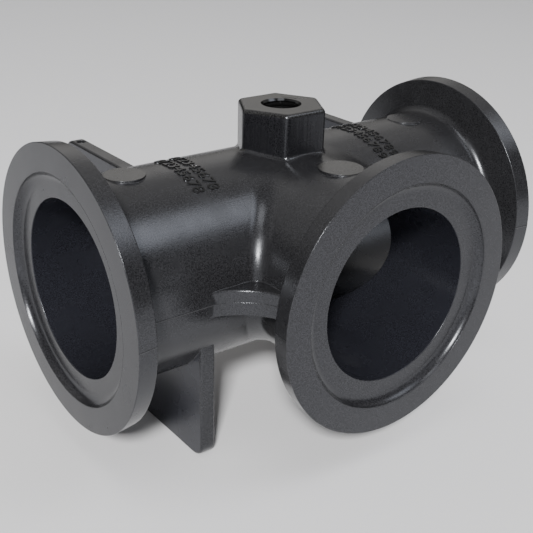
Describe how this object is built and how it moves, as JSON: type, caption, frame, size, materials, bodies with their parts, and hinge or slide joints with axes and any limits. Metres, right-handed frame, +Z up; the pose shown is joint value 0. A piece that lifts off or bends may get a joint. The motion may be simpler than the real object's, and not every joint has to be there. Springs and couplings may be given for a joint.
{
  "type": "flanged tee",
  "caption": "Black moulded tee that joins pipes by clamp flanges, with a hexagonal boss for a gauge on top and square mounting plates across its run.",
  "frame": {"origin": "where the axes of run and branch cross", "axes": "+X along the run, -Y out of the branch, +Z up and out of the gauge port"},
  "size_m": [0.155, 0.1141, 0.0993],
  "materials": {
    "plastic": "satin, as moulded, black glass-filled polypropylene"
  },
  "bodies": {
    "root": {"tee_body": "plastic"}
  },
  "joints": []
}
